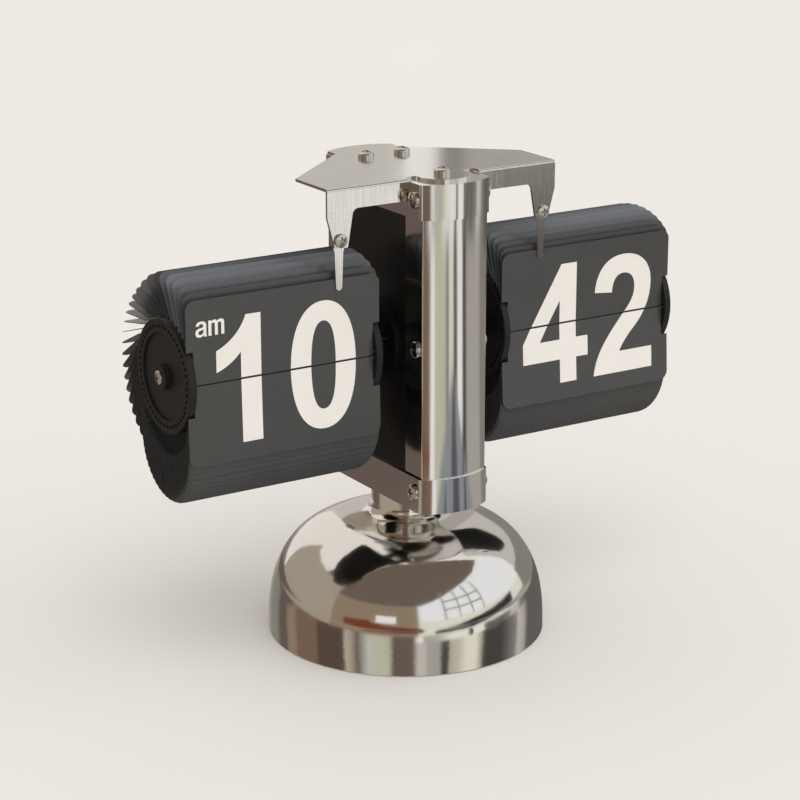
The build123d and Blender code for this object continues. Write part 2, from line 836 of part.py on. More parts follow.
with BuildPart() as battery_holder:
    with BuildSketch(Plane.XY.offset(holder_bottom)):
        with Locations((0, (battery_depth + cavity_half_depth) / 2)):
            Rectangle(2 * holder_half_width, cavity_half_depth - battery_depth)
    extrude(amount=holder_top - holder_bottom)
    with BuildSketch(Plane.XY.offset(holder_bottom + holder_wall)):
        with Locations((0, battery_depth)):
            Circle(battery_radius + battery_fit)
    extrude(amount=holder_top - holder_bottom - 2 * holder_wall, mode=Mode.SUBTRACT)
save(battery_holder.part, "battery_holder")

with BuildPart() as battery_contacts:
    with BuildSketch(Plane.XY.offset(holder_bottom + holder_wall)):
        with Locations((0, battery_depth)):
            Circle(contact_radius)
    extrude(amount=contact_thickness)
    with BuildSketch(Plane.XY.offset(holder_bottom + holder_wall)):
        with Locations((0, battery_depth)):
            Circle(contact_stud_radius)
    extrude(amount=contact_travel)
    with BuildSketch(Plane.XY.offset(battery_top + battery_nub_height)):
        with Locations((0, battery_depth)):
            Circle(contact_radius)
    extrude(amount=contact_thickness)
save(battery_contacts.part, "battery_contacts")

# Number card: hinge tabs, wheel notches, rounded free corners and a lip beyond the hinge
def number_card(lip):
    with BuildPart() as card:
        with BuildSketch(Plane.XY.offset(-card_thickness / 2)) as card_outline:
            with Locations((0, (card_length + card_notch_height) / 2)):
                Rectangle(card_width, card_length - card_notch_height)
            fillet(card_outline.vertices().group_by(Axis.Y)[-1], card_corner_radius)
            with Locations((0, (card_notch_height - lip) / 2)):
                Rectangle(hinge_width, card_notch_height + lip)
            Rectangle(tab_span, tab_width)
        extrude(amount=card_thickness)
    return card.part


# Cards: the free lower card, the held upper card, whose lip closes the split, and the packs between them
packed_card = number_card(hinge_lip)
for side, drum, cards, front_angle in drums:
    seats = card_seats(side, cards, front_angle)
    held_card = number_card(2 * pivot_radius * sin(pi / cards) - hinge_lip - split_gap)
    hanging = [seat for angle, seat in seats[1:-1] if angle < fan_start_angle]
    fanned = [seat for angle, seat in seats[1:-1] if fan_start_angle <= angle < stand_start_angle]
    standing = [seat for angle, seat in seats[1:-1] if angle >= stand_start_angle]
    save(copies(packed_card, [seats[0][1]]), f"{drum}_card_lower")
    save(copies(held_card, [seats[-1][1]]), f"{drum}_card_upper")
    save(copies(packed_card, hanging), f"{drum}_cards_hanging")
    save(copies(packed_card, fanned), f"{drum}_cards_fanned")
    save(copies(packed_card, standing), f"{drum}_cards_standing")

# Top bracket: plate with a round nose and two folded arms
with BuildPart() as top_bracket:
    with BuildSketch(Plane.XY.offset(column_top)):
        with BuildLine():
            Line((-bracket_half_span, -bracket_fold_depth), (bracket_half_span, -bracket_fold_depth))
            Line((bracket_half_span, -bracket_fold_depth), (bracket_half_span, bracket_arm_back))
            Line((bracket_half_span, bracket_arm_back), (bracket_waist_half_width, bracket_waist_depth))
            Line(
                (bracket_waist_half_width, bracket_waist_depth),
                (bracket_waist_half_width, bracket_tail_depth),
            )
            ThreePointArc(
                (bracket_waist_half_width, bracket_tail_depth),
                (0, bracket_tail_bow_depth),
                (-bracket_waist_half_width, bracket_tail_depth),
            )
            Line(
                (-bracket_waist_half_width, bracket_tail_depth),
                (-bracket_waist_half_width, bracket_waist_depth),
            )
            Line((-bracket_waist_half_width, bracket_waist_depth), (-bracket_half_span, bracket_arm_back))
            Line((-bracket_half_span, bracket_arm_back), (-bracket_half_span, -bracket_fold_depth))
        make_face()
        with Locations((0, -bracket_fold_depth)):
            Rectangle(2 * relief_outer, 2 * (bracket_fold_depth - relief_depth), mode=Mode.SUBTRACT)
        with Locations((0, -bracket_nose_depth)):
            Circle(bracket_nose_radius)
        with Locations(*plate_screw_places):
            Circle(screw_hole_radius, mode=Mode.SUBTRACT)
    extrude(amount=sheet)
    with BuildSketch(Plane.XZ.offset(arm_inner_face)) as arms:
        with BuildLine():
            Polyline(
                (relief_outer, bracket_top),
                (bracket_half_span, bracket_top),
                (bracket_half_span, bracket_top - arm_shoulder_drop),
                (arm_outer_tip, bracket_top - arm_tip_drop),
                (arm_inner_tip, bracket_top - arm_tip_drop),
                (arm_inner_root, bracket_top - flange_height),
                (relief_outer, bracket_top - flange_height),
                close=True,
            )
        make_face()
        fillet(arms.vertices().group_by(Axis.Y)[0], arm_tip_radius)
        fillet(
            arms.vertices().sort_by_distance((arm_inner_root, bracket_top - flange_height))[0],
            arm_root_radius,
        )
        with Locations((finger_place, bracket_top - finger_screw_drop)):
            Circle(small_hole_radius, mode=Mode.SUBTRACT)
        mirror(about=Plane.YZ)
    extrude(amount=sheet)
    fold_edges = top_bracket.edges().filter_by(Axis.X).group_by(Axis.Z)[-1].group_by(Axis.Y)[0]
    fillet(fold_edges, bend_radius)
save(top_bracket.part, "top_bracket")

plate_screw = pan_screw(screw_head_radius, plate_head_height, screw_shank_radius, plate_screw_length)
plate_seats = [Plane(origin=(place, depth, bracket_top)) for place, depth in plate_screw_places]
save(copies(plate_screw, plate_seats), "plate_screws")

# Spring fingers behind the arms, reaching over the top edge of the held cards
finger_screw_height = bracket_top - finger_screw_drop
finger_back = finger_thickness - arm_inner_face
for side, node in ((-1, "hour_finger"), (1, "minute_finger")):
    finger_plane = Plane(
        origin=(side * finger_place, finger_back, bracket_top), x_dir=(1, 0, 0), z_dir=(0, -1, 0)
    )
    with BuildPart() as finger:
        with BuildSketch(finger_plane):
            with BuildLine():
                Polyline(
                    (finger_head_width / 2, finger_head_rise - finger_screw_drop),
                    (finger_head_width / 2, -finger_screw_drop - finger_neck_drop),
                    (finger_root_width / 2, -finger_root_drop),
                    (finger_tip_width / 2, finger_tip_width / 2 - finger_tip_drop),
                    (-finger_tip_width / 2, finger_tip_width / 2 - finger_tip_drop),
                    (-finger_root_width / 2, -finger_root_drop),
                    (-finger_head_width / 2, -finger_screw_drop - finger_neck_drop),
                    (-finger_head_width / 2, finger_head_rise - finger_screw_drop),
                    close=True,
                )
            make_face()
            with Locations((0, finger_tip_width / 2 - finger_tip_drop)):
                Circle(finger_tip_width / 2)
            with Locations((0, -finger_screw_drop)):
                Circle(small_hole_radius, mode=Mode.SUBTRACT)
        extrude(amount=finger_thickness)
    save(finger.part, node)

finger_screw = pan_screw(small_head_radius, small_head_height, small_shank_radius, finger_screw_length)
finger_seats = [
    Plane(origin=(side * finger_place, -bracket_fold_depth, finger_screw_height), z_dir=(0, -1, 0))
    for side in (-1, 1)
]
save(copies(finger_screw, finger_seats), "finger_screws")
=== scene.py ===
import json
import math

import bmesh
import bpy
from mathutils import Matrix, Vector


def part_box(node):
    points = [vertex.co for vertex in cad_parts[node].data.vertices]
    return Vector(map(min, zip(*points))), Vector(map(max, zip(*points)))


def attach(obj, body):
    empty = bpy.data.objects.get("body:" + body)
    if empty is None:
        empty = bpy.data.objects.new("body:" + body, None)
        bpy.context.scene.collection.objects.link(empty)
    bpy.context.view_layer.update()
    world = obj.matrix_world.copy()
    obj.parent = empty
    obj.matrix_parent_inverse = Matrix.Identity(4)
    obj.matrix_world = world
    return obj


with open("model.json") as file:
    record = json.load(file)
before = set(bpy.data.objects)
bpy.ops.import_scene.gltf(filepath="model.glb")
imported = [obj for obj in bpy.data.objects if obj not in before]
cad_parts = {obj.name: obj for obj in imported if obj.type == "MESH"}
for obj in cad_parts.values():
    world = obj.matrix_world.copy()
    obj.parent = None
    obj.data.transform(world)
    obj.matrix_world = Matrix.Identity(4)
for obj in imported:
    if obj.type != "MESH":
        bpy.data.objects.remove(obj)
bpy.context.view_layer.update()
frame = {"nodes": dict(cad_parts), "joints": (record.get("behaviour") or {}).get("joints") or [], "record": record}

mm = 0.001


def linear(hexColour):        # sRGB hex to linear RGBA
    channels = [int(hexColour[i:i + 2], 16) / 255 for i in (1, 3, 5)]
    return [c / 12.92 if c <= 0.04045 else ((c + 0.055) / 1.055) ** 2.4 for c in channels] + [1.0]


# Adds a node, sets its sockets and properties, and links its inputs to the given outputs
def addNode(tree, kind, settings={}, links={}):
    node = tree.nodes.new(kind)
    for name, value in settings.items():
        if isinstance(name, int) or name in node.inputs:
            node.inputs[name].default_value = value
        else:
            setattr(node, name, value)
    for name, source in links.items():
        tree.links.new(source, node.inputs[name])
    return node


# A new material, with its shader and the coordinates that its patterns lie in
def newFinish(name, sockets):
    material = bpy.data.materials.new(name)
    material.use_nodes = True
    tree = material.node_tree
    tree.nodes.clear()
    shader = addNode(tree, "ShaderNodeBsdfPrincipled", sockets)
    addNode(tree, "ShaderNodeOutputMaterial", links={"Surface": shader.outputs["BSDF"]})
    place = addNode(tree, "ShaderNodeTexCoord").outputs["Object"]
    return material, tree, shader, place


noiseReach = (0.3, 0.7)        # the middle of the noise's range, which carries the pattern


# Noise whose cells measure the given millimetres along X, Y and Z, squeezed between two levels
def grainLevels(tree, place, sizes, low, high):
    cell = addNode(tree, "ShaderNodeMapping", {"Scale": [1 / (s * mm) for s in sizes]}, {"Vector": place})
    noise = addNode(
        tree, "ShaderNodeTexNoise", {"Scale": 1.0, "Detail": 3.0}, {"Vector": cell.outputs["Vector"]},
    )
    levels = addNode(
        tree, "ShaderNodeMapRange",
        {"From Min": noiseReach[0], "From Max": noiseReach[1], "To Min": low, "To Max": high},
        {"Value": noise.outputs["Fac"]},
    )
    return levels.outputs["Result"]


# Gives a shader its patterns: colour as levels between two hex values, roughness as levels, and bump as levels
# with their height in millimetres
def dress(tree, shader, colour=None, roughness=None, bump=None):
    if colour is not None:
        levels, darkHex, lightHex = colour
        mix = addNode(
            tree, "ShaderNodeMix", {"data_type": "RGBA", 6: linear(darkHex), 7: linear(lightHex)},
            {"Factor": levels},
        )
        tree.links.new(mix.outputs[2], shader.inputs["Base Color"])
    if roughness is not None:
        tree.links.new(roughness, shader.inputs["Roughness"])
    if bump is not None:
        levels, height = bump
        raised = addNode(tree, "ShaderNodeBump", {"Distance": height * mm}, {"Height": levels})
        tree.links.new(raised.outputs["Normal"], shader.inputs["Normal"])


# Chrome plate on polished steel: a clear mirror with a faint haze from wiping
def polishedChromePlate():
    material, tree, shader, place = newFinish(
        "chromePlatePolished", {"Metallic": 1.0, "Base Color": linear("#E8E5E1")},
    )
    haze = grainLevels(tree, place, (9, 9, 14), 0.08, 0.12)
    dress(tree, shader, roughness=haze, bump=(grainLevels(tree, place, (2.5, 2.5, 6), 0, 1), 0.0012))
    return material


# Chrome plate over drawn sheet: a mirror with long upright draw lines
def drawnChromeSheet():
    material, tree, shader, place = newFinish(
        "chromePlateDrawnSheet", {"Metallic": 1.0, "Base Color": linear("#E8E5E1")},
    )
    lines = grainLevels(tree, place, (0.5, 0.5, 60), 0.08, 0.15)        # drawn coarser than life to show
    dress(tree, shader, roughness=lines, bump=(grainLevels(tree, place, (0.8, 0.8, 80), 0, 1), 0.0015))
    return material


# Stainless sheet, brushed along its length: satin grey that draws highlights out across the grain
def brushedStainlessSheet():
    material, tree, shader, place = newFinish(
        "stainlessSheetBrushed", {"Metallic": 1.0, "Anisotropic": 0.97, "Anisotropic Rotation": 0.25},
    )
    lengthwise = grainLevels(tree, place, (26, 0.3, 0.3), 0, 1)        # brush lines, coarser than life to show
    upright = grainLevels(tree, place, (0.35, 0.35, 9), 0, 1)        # the same lines on the arms
    facing = addNode(tree, "ShaderNodeSeparateXYZ", links={
        "Vector": addNode(tree, "ShaderNodeNewGeometry").outputs["Normal"],
    }).outputs["Y"]
    bentDown = addNode(tree, "ShaderNodeMath", {"operation": "ABSOLUTE"}, {0: facing}).outputs["Value"]
    grain = addNode(
        tree, "ShaderNodeMix", links={"Factor": bentDown, "A": lengthwise, "B": upright},
    ).outputs["Result"]
    satin = grainLevels(tree, place, (18, 0.3, 0.3), 0.07, 0.11)
    dress(tree, shader, (grain, "#DAD7D2", "#EFECE8"), satin, (grain, 0.002))
    alongX = addNode(tree, "ShaderNodeCombineXYZ", {"X": 1.0})        # the tangent can only be given by a link
    tree.links.new(alongX.outputs["Vector"], shader.inputs["Tangent"])
    return material


# Nickel plate on turned screws: bright, a little softer than the chrome, with the plating's grain drawn coarser
# than life to show
def nickelPlatedScrew():
    material, tree, shader, place = newFinish(
        "steelScrewNickelPlated", {"Metallic": 1.0, "Base Color": linear("#CFCBC5")},
    )
    dress(
        tree, shader, roughness=grainLevels(tree, place, (0.6, 0.6, 0.6), 0.1, 0.2),
        bump=(grainLevels(tree, place, (0.25, 0.25, 0.25), 0, 1), 0.002),
    )
    return material


cardSheet = {
    "face": ("#3C3C3B", "#40403F"),
    # painted shade for the cut ends of the cards, which face along X
    "shadedCutSide": "#1F1E1D",
    # painted sheen: the pale sky that the fronts leaning back would mirror
    "paintedSheen": "#6E7277",
    "sheenTilt": (0.04, 0.35),        # how far a face looks up where the painted sheen starts, and where it is full
    "sheenFront": (-0.75, -0.95),        # how far it looks to the front, in the same way
}


# PVC sheet, die cut: even dark grey with a soft sheen, with painted shade on the cut ends, and a painted pale
# sheen, standing in for the sky they would mirror, on the fronts that lean back
def mattPvcSheet():
    material, tree, shader, place = newFinish("pvcSheetDieCut", {"Roughness": 0.3, "Specular IOR Level": 0.85})
    cloud = grainLevels(tree, place, (14, 14, 14), 0, 1)
    speckle = grainLevels(tree, place, (0.18, 0.18, 0.18), 0, 1)        # the sheet's embossed grain
    dress(tree, shader, (cloud, *cardSheet["face"]), bump=(speckle, 0.003))
    face = shader.inputs["Base Color"].links[0].from_socket
    normal = addNode(tree, "ShaderNodeNewGeometry").outputs["Normal"]
    axes = addNode(tree, "ShaderNodeSeparateXYZ", links={"Vector": normal}).outputs
    # the cut ends, which face along X, get painted shade
    shadedCutSide = addNode(tree, "ShaderNodeMath", {"operation": "ABSOLUTE"}, {0: axes["X"]}).outputs["Value"]
    cutSideShaded = addNode(
        tree, "ShaderNodeMix", {"data_type": "RGBA", 7: linear(cardSheet["shadedCutSide"])},
        {"Factor": shadedCutSide, 6: face},
    )
    tilted, frontal = (
        addNode(
            tree, "ShaderNodeMapRange", {"From Min": cardSheet[reach][0], "From Max": cardSheet[reach][1]},
            {"Value": axes[axis]},
        ).outputs["Result"]
        for reach, axis in (("sheenTilt", "Z"), ("sheenFront", "Y"))
    )
    leaning = addNode(tree, "ShaderNodeMath", {"operation": "MULTIPLY"}, {0: tilted, 1: frontal})
    # a painted pale sheen on the fronts that lean back, standing in for the sky they would mirror
    sheenedFace = addNode(
        tree, "ShaderNodeMix", {"data_type": "RGBA", 7: linear(cardSheet["paintedSheen"])},
        {"Factor": leaning.outputs["Value"], 6: cutSideShaded.outputs[2]},
    )
    tree.links.new(sheenedFace.outputs[2], shader.inputs["Base Color"])
    return material


# Moulded ABS, and the coated board and the cell's sleeve: dark, with a fine texture that softens the shine
def mouldedPlastic(name, darkHex, lightHex, smooth, rough, texture=0.006):
    material, tree, shader, place = newFinish(name, {"IOR": 1.53, "Specular IOR Level": 0.3})
    cloud = grainLevels(tree, place, (6, 6, 6), 0, 1)
    spark = grainLevels(tree, place, (0.2, 0.2, 0.2), 0, 1)        # texture of a spark-eroded mould
    polish = grainLevels(tree, place, (1.2, 1.2, 1.2), smooth, rough)
    dress(tree, shader, (cloud, darkHex, lightHex), polish, (spark, texture))
    return material


# Inner metals, ground, cut, cast or drawn: the colour, the polish and the size of the tool marks differ
def workedMetal(name, darkHex, lightHex, smooth, rough, marks):
    material, tree, shader, place = newFinish(name, {"Metallic": 1.0})
    levels = grainLevels(tree, place, marks, 0, 1)
    polish = grainLevels(tree, place, marks, smooth, rough)
    dress(tree, shader, (levels, darkHex, lightHex), polish, (levels, 0.004))
    return material


# Rubber foam sheet: closed skin, black and dull, with small pores
def foamRubberSheet():
    material, tree, shader, place = newFinish("rubberFoamSheet", {"Roughness": 0.85})
    pores = grainLevels(tree, place, (0.9, 0.9, 0.9), 0, 1)
    dress(tree, shader, (pores, "#161616", "#262625"), bump=(pores, 0.05))
    return material


# Screen ink, printed on the cards: warm white, almost flat
def printedInk():
    material, tree, shader, place = newFinish("whiteScreenInk", {"Roughness": 0.6, "Specular IOR Level": 0.3})
    cloud = grainLevels(tree, place, (5, 5, 5), 0, 1)
    speckle = grainLevels(tree, place, (0.3, 0.3, 0.3), 0, 1)        # the screen's mesh, coarser than life
    dress(tree, shader, (cloud, "#EEE9E2", "#F0EBE5"), bump=(speckle, 0.003))
    return material


finishes = {
    "polished_chrome": polishedChromePlate(),
    "brushed_sheet": brushedStainlessSheet(),
    "screw_steel": nickelPlatedScrew(),
    "card_plastic": mattPvcSheet(),
    "wheel_plastic": mouldedPlastic("absWheelMoulded", "#1B1B1B", "#202020", 0.4, 0.52),
    "housing_plastic": mouldedPlastic("absHousingMoulded", "#101010", "#131313", 0.26, 0.32, 0.0003),
    "black_parts": mouldedPlastic("absHolderMoulded", "#151515", "#1C1C1C", 0.4, 0.5),
    "board_laminate": mouldedPlastic("epoxyLaminateMasked", "#10371D", "#174A27", 0.3, 0.42),
    "cell_wrap": mouldedPlastic("pvcSleeveShrunk", "#1B1B1D", "#232326", 0.25, 0.35),
    "shaft_steel": workedMetal("steelShaftGround", "#A9A8A6", "#BDBCB9", 0.16, 0.28, (8, 0.1, 0.1)),
    "gear_brass": workedMetal("brassWheelCut", "#B08A47", "#C9A25C", 0.2, 0.34, (0.4, 0.4, 0.4)),
    "weight_iron": workedMetal("ironWeightCast", "#3A3938", "#4B4A48", 0.5, 0.7, (1.2, 1.2, 1.2)),
    "motor_case": workedMetal("aluminiumCanDrawn", "#B9B9B8", "#CBCBCA", 0.25, 0.38, (0.3, 0.3, 6)),
    "foot_rubber": foamRubberSheet(),
}
inkFinish = printedInk()
coverFinish = drawnChromeSheet()
drawnSheetNodes = ("front_cover", "rear_cover", "lower_band", "top_cap")

for part in frame["record"]["subparts"]:
    finish = coverFinish if part["node"] in drawnSheetNodes else finishes[part["material_slot"]]
    slots = frame["nodes"][part["node"]].data.materials
    slots.clear()
    slots.append(finish)


# Outlines of the printed figures, in millimetres from each figure's left and foot:
# two numbers are a corner, six are a curve with its two handles and its end
glyphs = {
    "0": [
        [
            (0, 22.9), (0, 37.1, 4.9, 45.8, 13.0, 45.8), (21.1, 45.8, 26.0, 37.1, 26.0, 22.9),
            (26.0, 8.7, 21.1, 0, 13.0, 0), (4.9, 0, 0, 8.7, 0, 22.9),
        ],
        [
            (8.1, 22.9), (8.1, 33.6, 9.7, 38.7, 13.0, 38.7), (16.3, 38.7, 17.9, 33.6, 17.9, 22.9),
            (17.9, 12.2, 16.3, 7.1, 13.0, 7.1), (9.7, 7.1, 8.1, 12.2, 8.1, 22.9),
        ],
    ],
    "1": [[
        (9.4, 0), (17.2, 0), (17.2, 44.8), (11.4, 44.8), (9.6, 39.6, 5.2, 35.6, 0, 33.5), (0, 25.9),
        (3.6, 27.1, 7.0, 29.2, 9.4, 32.0), (9.4, 0),
    ]],
    "2": [[
        (0, 0), (27.1, 0), (27.1, 8.0), (12.0, 8.0), (13.6, 11.2, 16.0, 13.6, 20.3, 17.7),
        (24.4, 21.8, 26.5, 27.0, 26.5, 33.0), (26.5, 40.2, 21.6, 45.0, 13.8, 45.0),
        (5.8, 45.0, 1.2, 40.0, 0.6, 31.7), (8.5, 30.9), (8.8, 35.4, 10.4, 37.8, 13.7, 37.8),
        (16.9, 37.8, 18.9, 35.6, 18.9, 32.0), (18.9, 28.4, 17.2, 25.9, 14.5, 22.9),
        (11.5, 19.6, 9.4, 17.6, 6.6, 14.0), (3.2, 9.8, 0.7, 5.4, 0, 0),
    ]],
    "4": [
        [
            (16.4, 0), (23.8, 0), (23.8, 8.9), (29.1, 8.9), (29.1, 16.4), (23.8, 16.4), (23.8, 44.8),
            (16.9, 44.8), (0, 16.4), (0, 8.9), (16.4, 8.9), (16.4, 0),
        ],
        [(16.4, 16.4), (7.5, 16.4), (16.4, 31.2), (16.4, 16.4)],
    ],
    "a": [
        [
            (4.45, 0), (3.3, 0), (3.2, 0.2, 3.15, 0.35, 3.13, 0.6), (2.6, 0.05, 2.1, -0.1, 1.6, -0.1),
            (0.65, -0.1, 0, 0.5, 0, 1.45), (0, 2.5, 0.75, 2.95, 1.8, 3.1), (2.6, 3.2, 3.0, 3.3, 3.0, 3.65),
            (3.0, 4.2, 2.7, 4.5, 2.15, 4.5), (1.65, 4.5, 1.4, 4.25, 1.3, 3.75), (0.18, 3.85),
            (0.3, 4.85, 1.0, 5.4, 2.2, 5.4), (3.5, 5.4, 4.15, 4.85, 4.15, 3.8), (4.15, 1.0),
            (4.15, 0.5, 4.25, 0.25, 4.45, 0),
        ],
        [
            (3.05, 2.55), (2.8, 2.4, 2.4, 2.35, 2.0, 2.25), (1.4, 2.1, 1.15, 1.9, 1.15, 1.5),
            (1.15, 1.05, 1.45, 0.8, 1.85, 0.8), (2.6, 0.8, 3.05, 1.35, 3.05, 2.0), (3.05, 2.55),
        ],
    ],
    "m": [[
        (0, 0), (1.15, 0), (1.15, 3.4), (1.15, 4.0, 1.4, 4.4, 1.85, 4.4), (2.25, 4.4, 2.43, 4.15, 2.43, 3.7),
        (2.43, 0), (3.58, 0), (3.58, 3.5), (3.58, 4.05, 3.85, 4.4, 4.25, 4.4),
        (4.65, 4.4, 4.85, 4.15, 4.85, 3.7), (4.85, 0), (6.0, 0), (6.0, 4.0), (6.0, 4.9, 5.6, 5.4, 4.7, 5.4),
        (4.1, 5.4, 3.6, 5.2, 3.3, 4.75), (3.15, 5.15, 2.85, 5.4, 2.35, 5.4), (1.8, 5.4, 1.35, 5.2, 1.1, 4.75),
        (1.1, 5.3), (0, 5.3), (0, 0),
    ]],
}

printing = {
    "inkThickness": 0.012,
    "footBelowSplit": 21.8,        # foot of the large figures under the line between the cards
    "hourFigures": (("1", 11.2, 0), ("0", 39.9, -0.5), ("a", 3.6, 39.3), ("m", 8.5, 39.3)),
    "minuteFigures": (("4", 9.4, 0), ("2", 41.1, 0)),
    "pastMinuteFigures": (("4", 9.4, 0), ("1", 46.0, 0)),
    "upperMargin": 0.35,        # bare rim between the ink and the hinged edge, so the flipped card clears it
    "lowerMargin": 0.03,
    "curveSteps": 14,
    "weldDistance": 0.0001,
    "cardThickness": 0.2,
}


# The figures of one number as flat thin prisms, x from the card's left edge and y from the split line
def figureMesh(figures):
    curve = bpy.data.curves.new("figureOutline", "CURVE")
    curve.dimensions = "2D"
    curve.fill_mode = "BOTH"
    curve.extrude = printing["inkThickness"] / 2
    curve.resolution_u = printing["curveSteps"]
    for glyph, left, lift in figures:
        shift = Vector((left, lift - printing["footBelowSplit"], 0))
        for outline in glyphs[glyph]:
            spline = curve.splines.new("BEZIER")
            spline.use_cyclic_u = True
            spline.bezier_points.add(len(outline) - 2)
            points = spline.bezier_points
            for point, step in zip(points, outline):
                point.co = Vector((*step[-2:], 0)) + shift
                point.handle_left_type = point.handle_right_type = "VECTOR"
            for i, step in enumerate(outline[1:]):
                if len(step) == 6:
                    start, end = points[i], points[(i + 1) % len(points)]
                    start.handle_right_type = end.handle_left_type = "FREE"
                    start.handle_right = Vector((*step[0:2], 0)) + shift
                    end.handle_left = Vector((*step[2:4], 0)) + shift
    holder = bpy.data.objects.new("figureOutline", curve)
    mesh = bpy.data.meshes.new_from_object(holder)
    bpy.data.objects.remove(holder)
    return mesh


# Half of a number, cut at the card's hinged edge and laid on one face of it
def printHalf(name, figures, upper, edge, face, body):
    mesh = figureMesh(figures)
    bm = bmesh.new()
    bm.from_mesh(mesh)
    bmesh.ops.remove_doubles(bm, verts=bm.verts, dist=printing["weldDistance"])
    side = 1 if upper else -1
    margin = printing["upperMargin"] if upper else printing["lowerMargin"]
    cut = bmesh.ops.bisect_plane(
        bm, geom=bm.verts[:] + bm.edges[:] + bm.faces[:],
        plane_co=(0, edge + side * margin, 0), plane_no=(0, side, 0), clear_inner=True,
    )
    edges = [e for e in cut["geom_cut"] if isinstance(e, bmesh.types.BMEdge)]
    bmesh.ops.holes_fill(bm, edges=edges, sides=0)
    bmesh.ops.recalc_face_normals(bm, faces=bm.faces)
    bmesh.ops.transform(bm, matrix=face @ Matrix.Diagonal((mm, mm, mm, 1)), verts=bm.verts)
    bm.to_mesh(mesh)
    bm.free()
    mesh.materials.append(inkFinish)
    piece = bpy.data.objects.new(name, mesh)
    bpy.context.scene.collection.objects.link(piece)
    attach(piece, body)


# The plane of a card's face: x along the hinge, y up the card, z out of the face
def cardFace(node, hinge, flipped):
    low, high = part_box(node)
    thickness = printing["cardThickness"] * mm
    upright = (low.z + high.z) / 2 > hinge.z
    lean = 0.0 if upright else math.atan2(high.y - low.y - thickness, high.z - low.z)
    up = Vector((0, math.sin(lean), math.cos(lean)))
    out = Vector((0, -math.cos(lean), math.sin(lean)))
    if flipped:
        up, out = -up, -out
    along = up.cross(out)
    lift = thickness / 2 + printing["inkThickness"] * mm / 2
    origin = Vector((low.x if along.x > 0 else high.x, hinge.y, hinge.z)) + out * lift
    return Matrix((
        (along.x, up.x, out.x, origin.x), (along.y, up.y, out.y, origin.y),
        (along.z, up.z, out.z, origin.z), (0, 0, 0, 1),
    ))


hinges = {j["name"]: Vector(j["pos_m"]) for j in frame["joints"]}
for drum, now, past in (
    ("hour", "hourFigures", "hourFigures"), ("minute", "minuteFigures", "pastMinuteFigures"),
):
    hinge = hinges[drum + "_card_flip"]
    upperFace = cardFace(drum + "_card_upper", hinge, False)
    lowerFace = cardFace(drum + "_card_lower", hinge, False)
    backFace = cardFace(drum + "_card_lower", hinge, True)
    upperEdge = (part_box(drum + "_card_upper")[0].z - hinge.z) / mm
    lowerEdge = (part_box(drum + "_card_lower")[1].z - hinge.z) / mm
    printHalf(drum + "FigureUpper", printing[now], True, upperEdge, upperFace, "frame")
    printHalf(drum + "FigureLower", printing[now], False, lowerEdge, lowerFace, drum + "_card")
    printHalf(drum + "FigurePastUpper", printing[past], True, upperEdge, backFace, drum + "_card")
    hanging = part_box(drum + "_cards_hanging")
    pastLift = printing["inkThickness"] * mm / 2
    pastPlace = (hanging[0].x, hanging[0].y - pastLift, hanging[1].z - lowerEdge * mm)
    pastFace = Matrix.Translation(pastPlace) @ Matrix.Rotation(math.pi / 2, 4, "X")
    printHalf(drum + "FigurePastLower", printing[past], False, lowerEdge, pastFace, "frame")
print("figures printed")


studio = {
    "backdrop": "#EFEAE4",
    "softLight": "#FFFFFF",
    "softStrength": 0.75,
    "floorSize": 30.0,
}


# A floor or a card round the clock, which is no part of it
def addStage(name, material, corners, faces):
    mesh = bpy.data.meshes.new(name)
    mesh.from_pydata(corners, [], faces)
    mesh.materials.append(material)
    card = bpy.data.objects.new(name, mesh)
    bpy.context.scene.collection.objects.link(card)
    return card


# Pale seamless paper under the clock
paper = newFinish(
    "seamlessPaper", {"Base Color": linear(studio["backdrop"]), "Roughness": 0.9, "Specular IOR Level": 0.1},
)[0]
half = studio["floorSize"] / 2
floor = addStage(
    "floor", paper, [(-half, -half, 0), (half, -half, 0), (half, half, 0), (-half, half, 0)], [range(4)],
)
floor.visible_glossy = False        # the chrome mirrors the ring of cards instead

world = bpy.data.worlds.new("studioWorld")
world.use_nodes = True
bpy.context.scene.world = world
worldTree = world.node_tree
worldTree.nodes.clear()
path = addNode(worldTree, "ShaderNodeLightPath")
seen = addNode(
    worldTree, "ShaderNodeMath", {"operation": "MAXIMUM"},
    {0: path.outputs["Is Camera Ray"], 1: path.outputs["Is Glossy Ray"]},
)
seenOrThrough = addNode(
    worldTree, "ShaderNodeMath", {"operation": "MAXIMUM"},
    {0: seen.outputs["Value"], 1: path.outputs["Is Transmission Ray"]},
)
softLight = addNode(
    worldTree, "ShaderNodeBackground",
    {"Color": linear(studio["softLight"]), "Strength": studio["softStrength"]},
)
backdrop = addNode(worldTree, "ShaderNodeBackground", {"Color": linear(studio["backdrop"]), "Strength": 1.0})
choice = addNode(worldTree, "ShaderNodeMixShader", links={
    0: seenOrThrough.outputs["Value"], 1: softLight.outputs["Background"], 2: backdrop.outputs["Background"],
})
addNode(worldTree, "ShaderNodeOutputWorld", links={"Surface": choice.outputs["Shader"]})


# Cards round the clock that only its shiny parts see, so the chrome has something to mirror
tones = {
    "white": "#F6F5F2", "sky": "#F3F5F8", "cream": "#EAE7DA", "shell": "#C9C5BE", "sand": "#C0B7A5",
    "sage": "#C4C3B0", "ash": "#ADA9A3", "stone": "#AA9F90", "steel": "#8F9399", "grey": "#8A8680",
    "umber": "#94836F", "taupe": "#6F635A", "mauve": "#695D56", "tan": "#7E6757", "brown": "#5A4C42",
    "slate": "#595B61", "lead": "#66635F", "rust": "#77402A", "dark": "#4A4644", "black": "#1B1918",
}

